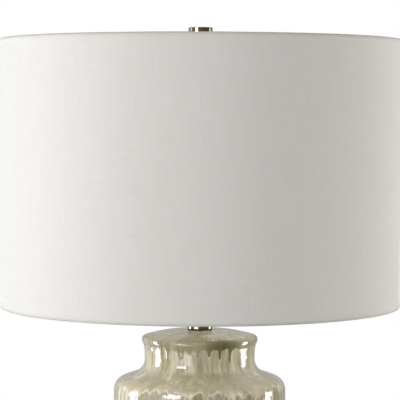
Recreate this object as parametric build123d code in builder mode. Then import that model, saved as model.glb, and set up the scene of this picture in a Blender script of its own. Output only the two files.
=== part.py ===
from build123d import *
import os
from math import acos, atan2, cos, degrees, hypot, radians, sin, sqrt, tan

# Ginger jar table lamp: a hollow glazed jar on a low spun foot, a turn-knob socket on a threaded
# pipe through the jar, a lift-off wire harp, and a drum shade held down by a finial.
#
# Millimetres, +Z up.  The origin is the centre of the underside, -Y is the front, where the switch
# knob points, and +Y is the back, where the cord inlet is.

# ---------------------------------------------------------------- driving dimensions

LAMP_H = 684.5  # underside to the top of the finial

# Foot, under the jar
FELT_R = 74.0
FELT_T = 2.0
FOOT_R = 75.0
FOOT_LIP_R = 64.0  # inner edge of the lip turned in under the foot, which the felt is glued to
FOOT_TOP_R = 69.5
FOOT_WALL_H = 12.5
FOOT_H = 17.0
FOOT_SHELL = 1.4
FOOT_ROUND = 3.0
SEAT_GASKET_T = 1.0

# Cord inlet, in the back of the foot
INLET_H = 6.5  # above the foot's bottom edge
INLET_HOLE_R = 4.2
INLET_BORE_R = 3.2
INLET_FLANGE_R = 5.2
INLET_PROUD = 1.6
INLET_BEHIND = 2.2

# Jar
JAR_H = 357.4
JAR_SHELL = 6.0
JAR_FOOT_R = 65.0
JAR_FOOT_ROUND = 3.0
WAIST_R = 80.0
WAIST_H = 75.0  # above the jar's base, where the lower body swells fastest
WAIST_ROUND = 950.0
HOLLOW_WAIST_ROUND = 800.0
WALL_R = 87.6
BELLY_H = 195.0  # above the jar's base, where the taper meets the upright wall
BELLY_ROUND = 1700.0
SHOULDER_SLOPE = 19.5  # degrees below level
SHOULDER_ROUND = 14.0
THROAT_R = 56.1
THROAT_ROUND = 15.5
THROAT_DROP = 29.7  # from the dome's top down to the narrowest point of the throat
NECKING_ROUND = 10.0  # the hollow bend below the lip
OVERHANG_ROUND = 6.0  # the lip's underside
OVERHANG_TURN = 30.0  # degrees by which that underside leans in
LIP_R = 58.8
LIP_DROP = 10.1  # from the dome's top down to the widest point of the lip
LIP_ROUND = 4.0
DOME_LAND_R = 14.0  # flat ground at the middle of the dome, which the neck stands on

# Pipe, nuts and neck
PIPE_R = 4.86
PIPE_BORE_R = 3.3
PIPE_CLEAR_R = 5.1  # clearance holes for the pipe
PIPE_FOOT_Z = 6.0
WASHER_R = 19.0
WASHER_T = 1.4
LOCK_WASHER_R = 8.6
LOCK_WASHER_T = 1.2
BASE_NUT_AF = 17.0
BASE_NUT_T = 5.0
NECK_R = 13.0
NECK_TOP = 405.0
NECK_GASKET_T = 0.8
NECK_SHELL = 1.2

# Harp saddle
SADDLE_T = 1.3
SADDLE_W = 9.0
PRONG_T = 1.3
PRONG_W = 4.4
PRONG_H = 17.5
SADDLE_NUT_AF = 15.0
SADDLE_NUT_T = 3.2

# Socket
CAP_R = 16.8
CAP_H = 21.0
CAP_BOSS_R = 8.0
CAP_BOSS_H = 7.0
CAP_BELL_H = 14.0  # above the cap's base, where its bell is full width
SOCKET_TOP = 470.0
SHEET_T = 0.8  # drawn metal of the cap, the socket shell and the bulb's base
SLEEVE_T = 0.6
THREAD_T = 1.05  # depth of the rolled screw shell
BLOCK_TOP = 446.0
TERMINAL_Z = 432.0
CONTACT_T = 0.6

# Switch knob
KNOB_Z = 438.0
KNOB_R = 7.5
KNOB_L = 14.0
SHAFT_R = 2.0
SHAFT_HOLE_R = 3.4

# Bulb
BULB_R = 30.0
BULB_TOP = 555.0
BULB_BASE_R = 13.1
COLLAR_R = 25.0
COLLAR_TOP = 499.0
DIFFUSER_T = 1.2
LED_BOARD_T = 1.6

# Harp
HARP_WIRE_R = 1.6
HARP_LEG_X = 29.5
HARP_BOW_X = 57.0
HARP_CROWN_X = 33.0
HARP_TOP = 656.2  # upper face of the eye, about 10 in above the saddle
EYE_R = 9.5
EYE_HOLE_R = 3.05
FERRULE_R = 4.3
FERRULE_BORE_R = 3.45
FERRULE_L = 17.0

# Shade
SHADE_R = 203.2  # over the rolled edges: a 16 in drum
SHADE_H = 270.7
SHADE_TOP = 672.2
EDGE_H = 5.0
EDGE_T = 0.4
FABRIC_T = 0.5
LINING_T = 0.5
SEAM_W = 12.0
RING_WIRE_R = 1.6
ARM_WIRE_R = 1.5
ARM_ANGLES = (90, 210, 330)
HUB_R = 12.7
HUB_T = 1.5
HUB_Z = 659.4

# Finial and the stud that it screws on
STUD_R = 3.1
STUD_TOP = 672.0
SEAT_R = 8.5
PILOT_R = 5.4
FINIAL_R = 12.3
FINIAL_WAIST_R = 7.5
FINIAL_DRUM_H = 18.0

RUN = 0.1  # gap between pieces that turn or slide on each other
FIT = 0.05  # gap between pieces that slip together and stay put

# ---------------------------------------------------------------- levels worked out from these

FOOT_TOP = FELT_T + FOOT_H
UNDER_PLATE = FOOT_TOP - FOOT_SHELL
JAR_BASE = FOOT_TOP + SEAT_GASKET_T
JAR_TOP = JAR_BASE + JAR_H
NECK_BASE = JAR_TOP + NECK_GASKET_T
SADDLE_TOP = NECK_TOP + SADDLE_T
CAP_BASE = SADDLE_TOP + SADDLE_NUT_T + FIT
SHADE_BOTTOM = SHADE_TOP - SHADE_H

os.makedirs("parts", exist_ok=True)


def finish(piece, label):
    """Names a finished piece and writes it to its own file."""
    piece.part.label = label
    export_step(piece.part, f"parts/{label}.step")


def turned(*corners):
    """A solid turned about the lamp's axis, from the corners (radius, height) of its section."""
    with BuildPart() as piece:
        with BuildSketch(Plane.XZ):
            with BuildLine():
                Polyline(*corners, close=True)
            make_face()
        revolve(axis=Axis.Z)
    return piece


def washer(inner_r, outer_r, base_z, thickness):
    """A flat ring about the lamp's axis."""
    with BuildPart() as piece:
        with BuildSketch(Plane.XY.offset(base_z)):
            Circle(outer_r)
            Circle(inner_r, mode=Mode.SUBTRACT)
        extrude(amount=thickness)
    return piece


def hex_nut(across_flats, base_z, thickness):
    """A hexagon nut on the pipe, its corners turned off top and bottom."""
    corner_r = across_flats / sqrt(3)
    flat_r = across_flats / 2
    bevel = (corner_r - flat_r) / 2
    top_z = base_z + thickness
    with BuildPart() as piece:
        with BuildSketch(Plane.XY.offset(base_z)):
            RegularPolygon(corner_r, 6)
            Circle(PIPE_R + FIT, mode=Mode.SUBTRACT)
        extrude(amount=thickness)
        with BuildSketch(Plane.XZ):
            with BuildLine():
                Polyline(
                    (0, base_z),
                    (flat_r, base_z),
                    (corner_r, base_z + bevel),
                    (corner_r, top_z - bevel),
                    (flat_r, top_z),
                    (0, top_z),
                    close=True,
                )
            make_face()
        revolve(axis=Axis.Z, mode=Mode.INTERSECT)
    return piece


# ---------------------------------------------------------------- foot

with BuildPart() as felt_pad:
    with BuildSketch():
        Circle(FELT_R)
    extrude(amount=FELT_T)
finish(felt_pad, "felt_pad")

inlet_z = FELT_T + INLET_H
wall_top = FELT_T + FOOT_WALL_H
with BuildPart() as foot:
    with BuildSketch(Plane.XZ):
        with BuildLine():
            outside = FilletPolyline(
                (FOOT_LIP_R, FELT_T),
                (FOOT_R, FELT_T),
                (FOOT_R, wall_top),
                (FOOT_TOP_R, FOOT_TOP),
                (PIPE_CLEAR_R, FOOT_TOP),
                radius=[0.8, FOOT_ROUND, FOOT_ROUND],
            )
            inside = FilletPolyline(
                (PIPE_CLEAR_R, UNDER_PLATE),
                (FOOT_TOP_R - FOOT_SHELL / 2, UNDER_PLATE),
                (FOOT_R - FOOT_SHELL, wall_top - FOOT_SHELL / 2),
                (FOOT_R - FOOT_SHELL, FELT_T + FOOT_SHELL),
                (FOOT_LIP_R, FELT_T + FOOT_SHELL),
                radius=[FOOT_ROUND - FOOT_SHELL, FOOT_ROUND - FOOT_SHELL, 0.4],
            )
            Line(outside @ 1, inside @ 0)
            Line(inside @ 1, outside @ 0)
        make_face()
    revolve(axis=Axis.Z)
    with Locations(Location((0, FOOT_R, inlet_z), (90, 0, 0))):
        Cylinder(INLET_HOLE_R, 4 * FOOT_SHELL, mode=Mode.SUBTRACT)
finish(foot, "foot")

inlet_out_y = FOOT_R + INLET_PROUD
inlet_back_y = FOOT_R - FOOT_SHELL - INLET_BEHIND
inlet_plane = Plane(origin=(0, inlet_out_y, inlet_z), x_dir=(1, 0, 0), z_dir=(0, -1, 0))
with BuildPart() as cord_bushing:
    with BuildSketch(inlet_plane):
        Circle(INLET_FLANGE_R)
    extrude(amount=INLET_PROUD)
    fillet(cord_bushing.edges().sort_by(Axis.Y)[-1], 1.0)
    with BuildSketch(inlet_plane):
        Circle(INLET_HOLE_R - FIT)
    extrude(amount=inlet_out_y - inlet_back_y)
    with BuildSketch(inlet_plane.offset(inlet_out_y - inlet_back_y)):
        Circle(INLET_HOLE_R + 0.4)
    extrude(amount=FIT - INLET_BEHIND + 0.2)
    with BuildSketch(inlet_plane):
        Circle(INLET_BORE_R)
    extrude(amount=inlet_out_y - inlet_back_y, mode=Mode.SUBTRACT)
finish(cord_bushing, "cord_bushing")

seat_gasket = washer(JAR_FOOT_R - 9.0, JAR_FOOT_R - 3.0, FOOT_TOP, SEAT_GASKET_T)
finish(seat_gasket, "seat_gasket")

# ---------------------------------------------------------------- pipe and the nut under the foot

with BuildPart() as threaded_pipe:
    with BuildSketch(Plane.XY.offset(PIPE_FOOT_Z)):
        Circle(PIPE_R)
        Circle(PIPE_BORE_R, mode=Mode.SUBTRACT)
    extrude(amount=CAP_BASE + CAP_BOSS_H - PIPE_FOOT_Z)
    chamfer(threaded_pipe.edges().filter_by(GeomType.CIRCLE), 0.4)
finish(threaded_pipe, "threaded_pipe")

base_washer = washer(PIPE_CLEAR_R, WASHER_R, UNDER_PLATE - WASHER_T, WASHER_T)
finish(base_washer, "base_washer")

lock_z = UNDER_PLATE - WASHER_T - LOCK_WASHER_T
with BuildPart() as lock_washer:
    with BuildSketch(Plane.XY.offset(lock_z)):
        Circle(LOCK_WASHER_R)
        Circle(PIPE_CLEAR_R, mode=Mode.SUBTRACT)
        with Locations((LOCK_WASHER_R, 0)):
            Rectangle(LOCK_WASHER_R, 1.2, mode=Mode.SUBTRACT)
    extrude(amount=LOCK_WASHER_T)
finish(lock_washer, "lock_washer")

base_nut = hex_nut(BASE_NUT_AF, lock_z - BASE_NUT_T, BASE_NUT_T)
finish(base_nut, "base_nut")

# ---------------------------------------------------------------- jar

# The shoulder's straight slope meets the wall and the throat in two rounded corners.
lip_z = JAR_TOP - LIP_DROP
throat_z = JAR_TOP - THROAT_DROP
throat_turn = 90 - SHOULDER_SLOPE
throat_reach = THROAT_ROUND * tan(radians(throat_turn) / 2)
throat_corner_z = throat_z - throat_reach
shoulder_corner_z = throat_corner_z - (WALL_R - THROAT_R) * tan(radians(SHOULDER_SLOPE))
slope_end = (
    THROAT_R + throat_reach * cos(radians(SHOULDER_SLOPE)),
    throat_corner_z - throat_reach * sin(radians(SHOULDER_SLOPE)),
)
# A long flare leads up from the throat to the hollow bend, and the overhang follows that.
bends = OVERHANG_ROUND + NECKING_ROUND
flare_h = lip_z - throat_z - bends * sin(radians(OVERHANG_TURN))
flare_w = LIP_R - THROAT_R - bends * (1 - cos(radians(OVERHANG_TURN)))
flare_over = (flare_h**2 + flare_w**2) / (2 * flare_w)  # its radius beyond the hollow bend's
flare_turn = degrees(atan2(flare_h, flare_over - flare_w))
# The dome is one large arc, tangent to the lip's rounding and to the flat land.
dome_w = LIP_R - LIP_ROUND - DOME_LAND_R
dome_r = (dome_w**2 + LIP_DROP**2 - LIP_ROUND**2) / (2 * (LIP_DROP - LIP_ROUND))
dome_turn = degrees(atan2(dome_w, dome_r - LIP_DROP))
# The hollow follows the outside, one shell further in.
hollow_floor = JAR_BASE + 1.3 * JAR_SHELL
hollow_roof = JAR_TOP - JAR_SHELL

with BuildPart() as ceramic_jar:
    with BuildSketch(Plane.XZ):
        with BuildLine():
            wall = FilletPolyline(
                (0, JAR_BASE),
                (JAR_FOOT_R, JAR_BASE),
                (WAIST_R, JAR_BASE + WAIST_H),
                (WALL_R, JAR_BASE + BELLY_H),
                (WALL_R, shoulder_corner_z),
                slope_end,
                radius=[JAR_FOOT_ROUND, WAIST_ROUND, BELLY_ROUND, SHOULDER_ROUND],
            )
            throat = JernArc(slope_end, wall % 1, THROAT_ROUND, -throat_turn)
            flare = JernArc(throat @ 1, (0, 1), flare_over + NECKING_ROUND, -flare_turn)
            necking = JernArc(flare @ 1, flare % 1, NECKING_ROUND, flare_turn - OVERHANG_TURN)
            overhang = JernArc(necking @ 1, necking % 1, OVERHANG_ROUND, OVERHANG_TURN)
            lip = JernArc(overhang @ 1, (0, 1), LIP_ROUND, 90 - dome_turn)
            dome = JernArc(lip @ 1, lip % 1, dome_r, dome_turn)
            Polyline(dome @ 1, (0, JAR_TOP), (0, JAR_BASE))
        make_face()
    revolve(axis=Axis.Z)
    with BuildSketch(Plane.XZ):
        with BuildLine():
            FilletPolyline(
                (0, hollow_floor),
                (JAR_FOOT_R - JAR_SHELL, hollow_floor),
                (WAIST_R - JAR_SHELL, JAR_BASE + WAIST_H),
                (WALL_R - JAR_SHELL, JAR_BASE + BELLY_H),
                (WALL_R - JAR_SHELL, shoulder_corner_z - 0.7 * JAR_SHELL),
                (THROAT_R - JAR_SHELL, throat_corner_z - 0.7 * JAR_SHELL),
                (THROAT_R - JAR_SHELL, lip_z - 0.3 * JAR_SHELL),
                (0, hollow_roof),
                radius=[6.0, HOLLOW_WAIST_ROUND, BELLY_ROUND, 7.0, 20.0, 6.0],
            )
            Line((0, hollow_roof), (0, hollow_floor))
        make_face()
    revolve(axis=Axis.Z, mode=Mode.SUBTRACT)
    with Locations((0, 0, (JAR_BASE + JAR_TOP) / 2)):
        Cylinder(PIPE_CLEAR_R + 1.0, JAR_H + 2.0, mode=Mode.SUBTRACT)
finish(ceramic_jar, "ceramic_jar")

# ---------------------------------------------------------------- neck

neck_gasket = washer(PIPE_CLEAR_R, NECK_R - 0.8, JAR_TOP, NECK_GASKET_T)
finish(neck_gasket, "neck_gasket")

neck_plate_t = 2 * NECK_SHELL
neck_tube = turned(
    (PIPE_CLEAR_R, NECK_BASE),
    (NECK_R - 0.4, NECK_BASE),
    (NECK_R, NECK_BASE + 0.4),
    (NECK_R, NECK_TOP - 0.4),
    (NECK_R - 0.4, NECK_TOP),
    (PIPE_CLEAR_R, NECK_TOP),
    (PIPE_CLEAR_R, NECK_TOP - neck_plate_t),
    (NECK_R - NECK_SHELL, NECK_TOP - neck_plate_t),
    (NECK_R - NECK_SHELL, NECK_BASE + neck_plate_t),
    (PIPE_CLEAR_R, NECK_BASE + neck_plate_t),
)
finish(neck_tube, "neck_tube")

# ---------------------------------------------------------------- harp saddle

prong_x = HARP_LEG_X - HARP_WIRE_R - 3 * RUN - PRONG_T / 2
with BuildPart() as harp_saddle:
    with BuildSketch(Plane.XY.offset(NECK_TOP)):
        SlotOverall(2 * HARP_LEG_X + 10.0, SADDLE_W)
        Circle(NECK_R - 1.5)
        Circle(PIPE_CLEAR_R, mode=Mode.SUBTRACT)
    extrude(amount=SADDLE_T)
    with BuildSketch(Plane.XY.offset(SADDLE_TOP)):
        with Locations((-prong_x, 0), (prong_x, 0)):
            Rectangle(PRONG_T, PRONG_W)
    extrude(amount=PRONG_H)
    fillet(harp_saddle.edges().filter_by(Axis.X).group_by(Axis.Z)[-1], 1.6)
finish(harp_saddle, "harp_saddle")

saddle_nut = hex_nut(SADDLE_NUT_AF, SADDLE_TOP, SADDLE_NUT_T)
finish(saddle_nut, "saddle_nut")

# ---------------------------------------------------------------- socket

pipe_fit_r = PIPE_R + FIT
cap_top = CAP_BASE + CAP_H
cap_floor = CAP_BASE + CAP_BOSS_H + 1.4
screw_z = CAP_BASE + 3.2
with BuildPart() as socket_cap:
    with BuildSketch(Plane.XZ):
        with BuildLine():
            outside = FilletPolyline(
                (pipe_fit_r, CAP_BASE),
                (CAP_BOSS_R, CAP_BASE),
                (CAP_BOSS_R, CAP_BASE + CAP_BOSS_H),
                (CAP_R, CAP_BASE + CAP_BELL_H),
                (CAP_R, cap_top),
                radius=[0.6, 2.0, 4.0],
            )
            inside = FilletPolyline(
                (CAP_R - SHEET_T, cap_top),
                (CAP_R - SHEET_T, CAP_BASE + CAP_BELL_H + 0.5),
                (CAP_BOSS_R, cap_floor),
                (pipe_fit_r, cap_floor),
                radius=[3.2, 1.0],
            )
            Line(outside @ 1, inside @ 0)
            Line(inside @ 1, outside @ 0)
        make_face()
    revolve(axis=Axis.Z)
    with Locations(Location((CAP_BOSS_R, 0, screw_z), (0, 90, 0))):
        Cylinder(1.4, 10.0, mode=Mode.SUBTRACT)
finish(socket_cap, "socket_cap")

screw_grip = CAP_BOSS_R - pipe_fit_r
screw_plane = Plane(origin=(pipe_fit_r, 0, screw_z), z_dir=(1, 0, 0))
with BuildPart() as cap_set_screw:
    with BuildSketch(screw_plane):
        Circle(1.35)
    extrude(amount=screw_grip)
    with BuildSketch(screw_plane.offset(screw_grip)):
        Circle(2.3)
    extrude(amount=1.6)
    with BuildSketch(screw_plane.offset(screw_grip + 1.6)):
        Rectangle(0.7, 5.0)
    extrude(amount=-0.8, mode=Mode.SUBTRACT)
finish(cap_set_screw, "cap_set_screw")

shell_r = CAP_R - SHEET_T - FIT
shell_foot = CAP_BASE + CAP_BELL_H + 2.4
with BuildPart() as socket_shell:
    with BuildSketch(Plane.XZ):
        with BuildLine():
            Polyline(
                (shell_r - SHEET_T, shell_foot),
                (shell_r, shell_foot),
                (shell_r, SOCKET_TOP - 2.4),
                (shell_r + 0.7, SOCKET_TOP - 1.7),
                (shell_r + 0.7, SOCKET_TOP - 0.6),
                (shell_r + 0.1, SOCKET_TOP),
                (shell_r - SHEET_T, SOCKET_TOP),
                close=True,
            )
        make_face()
    revolve(axis=Axis.Z)
    with Locations(Location((0, -shell_r, KNOB_Z), (90, 0, 0))):
        Cylinder(SHAFT_HOLE_R, 6.0, mode=Mode.SUBTRACT)
finish(socket_shell, "socket_shell")

sleeve_r = shell_r - SHEET_T - FIT
with BuildPart() as insulating_sleeve:
    with BuildSketch(Plane.XY.offset(shell_foot)):
        Circle(sleeve_r)
        Circle(sleeve_r - SLEEVE_T, mode=Mode.SUBTRACT)
    extrude(amount=SOCKET_TOP - 1.0 - shell_foot)
    with Locations(Location((0, -sleeve_r, KNOB_Z), (90, 0, 0))):
        Cylinder(SHAFT_HOLE_R, 6.0, mode=Mode.SUBTRACT)
finish(insulating_sleeve, "insulating_sleeve")

block_r = sleeve_r - SLEEVE_T - FIT
block_base = shell_foot + 0.5
pocket_depth = 2.5
with BuildPart() as switch_block:
    with BuildSketch(Plane.XY.offset(block_base)):
        Circle(block_r)
        with Locations((-block_r, 0), (block_r, 0)):
            Rectangle(2 * pocket_depth, 9.0, mode=Mode.SUBTRACT)
    extrude(amount=BLOCK_TOP - block_base)
    with Locations(Location((0, -block_r, KNOB_Z), (90, 0, 0))):
        Cylinder(SHAFT_R + RUN, 18.0, mode=Mode.SUBTRACT)
    with Locations(Location((0, 0, TERMINAL_Z), (0, 90, 0))):
        Cylinder(1.5, 2 * block_r, mode=Mode.SUBTRACT)
finish(switch_block, "switch_block")

with BuildPart() as terminal_screws:
    for side in (-1, 1):
        seat = Plane(origin=(side * (block_r - pocket_depth), 0, TERMINAL_Z), z_dir=(side, 0, 0))
        with BuildSketch(seat):
            Circle(2.8)
        extrude(amount=1.6)
        with BuildSketch(seat):
            Circle(1.45)
        extrude(amount=-5.0)
        with BuildSketch(seat.offset(1.6)):
            Rectangle(0.7, 6.0)
        extrude(amount=-0.7, mode=Mode.SUBTRACT)
finish(terminal_screws, "terminal_screws")

screw_floor_r = BULB_BASE_R - 3.0
screw_shell = turned(
    (screw_floor_r, BLOCK_TOP),
    (block_r, BLOCK_TOP),
    (block_r, SOCKET_TOP - 3.0),
    (block_r - THREAD_T, SOCKET_TOP - 3.0),
    (block_r - THREAD_T, BLOCK_TOP + THREAD_T),
    (screw_floor_r, BLOCK_TOP + THREAD_T),
)
finish(screw_shell, "screw_shell")

contact_rise = 2.0
spring_z = BLOCK_TOP + CONTACT_T / 2
with BuildPart() as centre_contact:
    with BuildSketch(Plane.XZ):
        with BuildLine():
            FilletPolyline(
                (-7.0, spring_z),
                (-3.0, spring_z),
                (1.5, spring_z + contact_rise),
                (4.5, spring_z + contact_rise),
                radius=1.0,
            )
        trace(line_width=CONTACT_T)
    extrude(amount=2.5, both=True)
finish(centre_contact, "centre_contact")

# ---------------------------------------------------------------- switch knob

shaft_in_y = block_r - 8.0
knob_in_y = shell_r + 1.6
shaft_end_y = knob_in_y + 0.6 * KNOB_L
knob_plane = Plane(origin=(0, -knob_in_y, KNOB_Z), x_dir=(1, 0, 0), z_dir=(0, -1, 0))
with BuildPart() as switch_shaft:
    with BuildSketch(knob_plane.offset(shaft_in_y - knob_in_y)):
        Circle(SHAFT_R)
    extrude(amount=shaft_end_y - shaft_in_y)
finish(switch_shaft, "switch_shaft")

with BuildPart() as switch_knob:
    with BuildSketch(knob_plane):
        Circle(KNOB_R)
    extrude(amount=KNOB_L, taper=1.5)
    fillet(switch_knob.faces().sort_by(Axis.Y)[0].edges(), 1.5)
    with BuildSketch(knob_plane.offset(3.0)):
        with PolarLocations(KNOB_R + 0.3, 12):
            Circle(1.2)
    extrude(amount=KNOB_L, mode=Mode.SUBTRACT)
    with BuildSketch(knob_plane):
        Circle(SHAFT_R)
    extrude(amount=shaft_end_y - knob_in_y, mode=Mode.SUBTRACT)
finish(switch_knob, "switch_knob")

# ---------------------------------------------------------------- bulb

tip_z = BLOCK_TOP + CONTACT_T + contact_rise + RUN
tip_top = tip_z + 1.2
insulator_top = tip_z + 6.0
base_sleeve_top = SOCKET_TOP + 3.0
base_in_r = BULB_BASE_R - SHEET_T
board_r = COLLAR_R - 2.0

bulb_tip = turned((0, tip_z), (3.5, tip_z), (4.5, tip_top), (0, tip_top))
finish(bulb_tip, "bulb_tip")

bulb_insulator = turned(
    (0, tip_top),
    (5.5, tip_top),
    (base_in_r - 1.2, insulator_top - 2.0),
    (base_in_r - FIT, insulator_top),
    (0, insulator_top),
)
finish(bulb_insulator, "bulb_insulator")

bulb_screw_base = turned(
    (base_in_r, insulator_top - 1.0),
    (BULB_BASE_R, insulator_top - 1.0),
    (BULB_BASE_R, base_sleeve_top),
    (base_in_r, base_sleeve_top),
)
finish(bulb_screw_base, "bulb_screw_base")

bulb_collar = turned(
    (base_in_r - 2.6, base_sleeve_top - 8.0),
    (base_in_r - FIT, base_sleeve_top - 8.0),
    (base_in_r - FIT, base_sleeve_top),
    (BULB_BASE_R + 2.0, base_sleeve_top),
    (COLLAR_R, COLLAR_TOP - 2.0),
    (COLLAR_R, COLLAR_TOP),
    (board_r, COLLAR_TOP),
    (board_r, COLLAR_TOP - LED_BOARD_T),
    (board_r - 1.0, COLLAR_TOP - LED_BOARD_T),
    (base_in_r - 2.6, base_sleeve_top + 2.0),
)
finish(bulb_collar, "bulb_collar")

led_board = turned(
    (0, COLLAR_TOP - LED_BOARD_T),
    (board_r - FIT, COLLAR_TOP - LED_BOARD_T),
    (board_r - FIT, COLLAR_TOP),
    (0, COLLAR_TOP),
)
finish(led_board, "led_board")

# The diffuser is a ball on a cone that is tangent to it.
ball_z = BULB_TOP - BULB_R
with BuildPart() as bulb_diffuser:
    for inset, mode in ((0, Mode.ADD), (DIFFUSER_T, Mode.SUBTRACT)):
        rim_r = COLLAR_R - inset
        ball_r = BULB_R - inset
        rim_distance = hypot(rim_r, ball_z - COLLAR_TOP)
        meet = acos(ball_r / rim_distance) - atan2(ball_z - COLLAR_TOP, rim_r)
        with BuildSketch(Plane.XZ):
            with BuildLine():
                cone = Line((rim_r, COLLAR_TOP), (ball_r * cos(meet), ball_z + ball_r * sin(meet)))
                crown = CenterArc((0, ball_z), ball_r, degrees(meet), 90 - degrees(meet))
                Polyline(crown @ 1, (0, COLLAR_TOP), cone @ 0)
            make_face()
        revolve(axis=Axis.Z, mode=mode)
finish(bulb_diffuser, "bulb_diffuser")

# ---------------------------------------------------------------- harp

leg_foot = SADDLE_TOP + RUN
wire_top_z = HARP_TOP - HARP_WIRE_R
half_bow = [
    (HARP_CROWN_X, wire_top_z),
    (HARP_BOW_X, 606.0),
    (HARP_BOW_X, 506.0),
    (HARP_LEG_X, 458.0),
    (HARP_LEG_X, leg_foot),
]
half_rounds = [20, 60, 60, 25]

with BuildPart() as harp_bow:
    with BuildLine(Plane.XZ) as bow_line:
        FilletPolyline(
            *[(-x, z) for x, z in reversed(half_bow)],
            *half_bow,
            radius=half_rounds[::-1] + half_rounds,
        )
    with BuildSketch(Plane.XY.offset(leg_foot)):
        with Locations((-HARP_LEG_X, 0)):
            Circle(HARP_WIRE_R)
    sweep(path=bow_line.wire())
    with BuildSketch(Plane.XY.offset(wire_top_z)):
        Circle(EYE_R)
    extrude(amount=HARP_WIRE_R)
    with BuildSketch(Plane.XY.offset(wire_top_z)):
        Circle(EYE_R - 1.5)
    extrude(amount=-2 * HARP_WIRE_R, mode=Mode.SUBTRACT)
    with BuildSketch(Plane.XY.offset(wire_top_z)):
        Circle(EYE_HOLE_R)
    extrude(amount=HARP_WIRE_R, mode=Mode.SUBTRACT)
finish(harp_bow, "harp_bow")


def ferrule(side):
    """The sleeve that locks one harp leg to its prong; side is -1 on the left, +1 on the right."""
    base = Plane(origin=(side * (HARP_LEG_X - 1.1), 0, leg_foot))
    with BuildPart() as sleeve:
        with BuildSketch(base):
            Circle(FERRULE_R)
        extrude(amount=FERRULE_L)
        fillet(sleeve.edges().group_by(Axis.Z)[-1], 0.4)
        with BuildSketch(base):
            Circle(FERRULE_R + 0.6)
        extrude(amount=1.4)
        with BuildSketch(base):
            Circle(FERRULE_BORE_R)
        extrude(amount=FERRULE_L, mode=Mode.SUBTRACT)
    return sleeve


ferrule_left = ferrule(-1)
finish(ferrule_left, "ferrule_left")
ferrule_right = ferrule(1)
finish(ferrule_right, "ferrule_right")

# ---------------------------------------------------------------- shade frame

seat_z = HARP_TOP + RUN
pilot_top = HUB_Z + HUB_T - 0.3
rivet_top = wire_top_z - RUN
swivel_stud = turned(
    (0, rivet_top - 1.5),
    (SEAT_R - 3.5, rivet_top - 1.5),
    (SEAT_R - 3.5, rivet_top),
    (EYE_HOLE_R - FIT, rivet_top),
    (EYE_HOLE_R - FIT, seat_z),
    (SEAT_R, seat_z),
    (SEAT_R, HUB_Z),
    (PILOT_R, HUB_Z),
    (PILOT_R, pilot_top),
    (STUD_R, pilot_top),
    (STUD_R, STUD_TOP - 0.6),
    (STUD_R - 0.6, STUD_TOP),
    (0, STUD_TOP),
)
finish(swivel_stud, "swivel_stud")

spider_hub = washer(PILOT_R + FIT, HUB_R, HUB_Z, HUB_T)
finish(spider_hub, "spider_hub")

# From the outside in: rolled edge, fabric, lining, ring wire, and the rolled edge's inner leg.
fabric_r = SHADE_R - EDGE_T
lining_r = fabric_r - FABRIC_T
ring_r = lining_r - LINING_T - FIT - RING_WIRE_R
edge_in_r = ring_r - RING_WIRE_R - FIT
ring_inset = EDGE_T + FIT + RING_WIRE_R


def wire_ring(centre_z):
    """A ring of round wire inside the shade's edge."""
    with BuildPart() as ring:
        with BuildSketch(Plane.XZ):
            with Locations((ring_r, centre_z)):
                Circle(RING_WIRE_R)
        revolve(axis=Axis.Z)
    return ring


top_ring = wire_ring(SHADE_TOP - ring_inset)
finish(top_ring, "top_ring")
bottom_ring = wire_ring(SHADE_BOTTOM + ring_inset)
finish(bottom_ring, "bottom_ring")

# Each arm runs level from the hub and turns up to the underside of the top ring.
arm_z = HUB_Z + HUB_T / 2
with BuildPart() as spider_arms:
    for angle in ARM_ANGLES:
        out_x = cos(radians(angle))
        out_y = sin(radians(angle))
        with BuildLine(Plane(origin=(0, 0, 0), x_dir=(out_x, out_y, 0), z_dir=(out_y, -out_x, 0))):
            arm_line = FilletPolyline(
                (HUB_R - 1.0, arm_z),
                (ring_r, arm_z),
                (ring_r, SHADE_TOP - ring_inset),
                radius=6.0,
            )
        with BuildSketch(Plane(origin=arm_line @ 0, z_dir=arm_line % 0)):
            Circle(ARM_WIRE_R)
        sweep(path=arm_line)
    with Locations((0, 0, arm_z)):
        Cylinder(HUB_R, 4 * ARM_WIRE_R, mode=Mode.SUBTRACT)
    add(top_ring.part, mode=Mode.SUBTRACT)
    spider_arms.part = Part(spider_arms.part.solids().sort_by(SortBy.VOLUME)[-len(ARM_ANGLES) :])
finish(spider_arms, "spider_arms")

# ---------------------------------------------------------------- shade covering

skin_base = SHADE_BOTTOM + EDGE_T
skin_h = SHADE_H - 2 * EDGE_T

shade_lining = washer(lining_r - LINING_T, lining_r, skin_base, skin_h)
finish(shade_lining, "shade_lining")

# The linen goes once round and laps over itself at the back, between the rolled edges.
with BuildPart() as shade_fabric:
    with BuildSketch(Plane.XY.offset(skin_base)):
        Circle(fabric_r)
        Circle(lining_r, mode=Mode.SUBTRACT)
    extrude(amount=skin_h)
    with BuildSketch(Plane.XY.offset(SHADE_BOTTOM + EDGE_H)):
        Circle(SHADE_R)
        Circle(fabric_r - EDGE_T, mode=Mode.SUBTRACT)
        with Locations((0, fabric_r)):
            Rectangle(SEAM_W, 10 * EDGE_T, mode=Mode.INTERSECT)
    extrude(amount=SHADE_H - 2 * EDGE_H)
finish(shade_fabric, "shade_fabric")


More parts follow.
